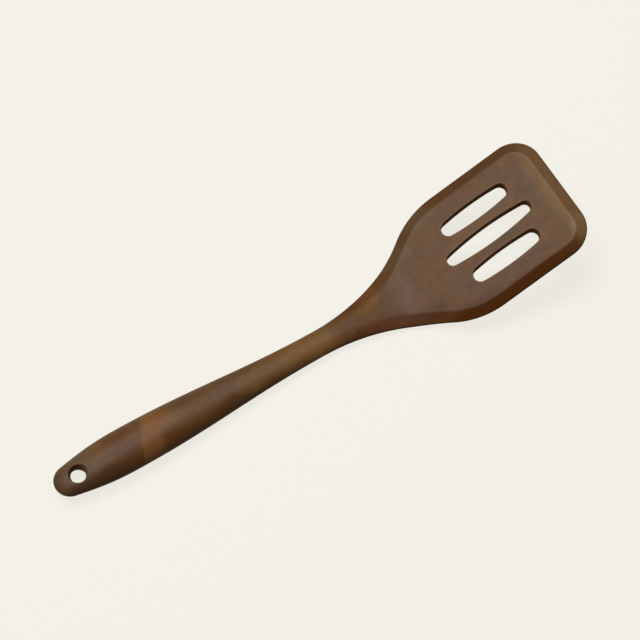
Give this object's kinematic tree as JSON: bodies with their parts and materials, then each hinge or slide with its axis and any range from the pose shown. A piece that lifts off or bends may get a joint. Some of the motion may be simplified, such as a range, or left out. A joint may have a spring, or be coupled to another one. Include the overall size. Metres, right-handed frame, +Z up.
{
  "type": "slotted spatula",
  "caption": "Kitchen turner with a wide slotted blade set at a slope to a tapered oval grip with a hanging eye, moulded in wood-tone silicone over a stiff core.",
  "frame": {"origin": "middle of the bounding box, on the surface that the part lies on", "axes": "+X from the hanging eye to the blade's front edge, +Y across the blade, +Z up"},
  "size_m": [0.3344, 0.079, 0.0401],
  "materials": {
    "silicone_skin": "matte wood-tone silicone with soft marbling",
    "nylon_core": "satin dark glass-filled nylon"
  },
  "bodies": {
    "root": {"silicone_skin": "silicone_skin", "nylon_core": "nylon_core"}
  },
  "joints": []
}
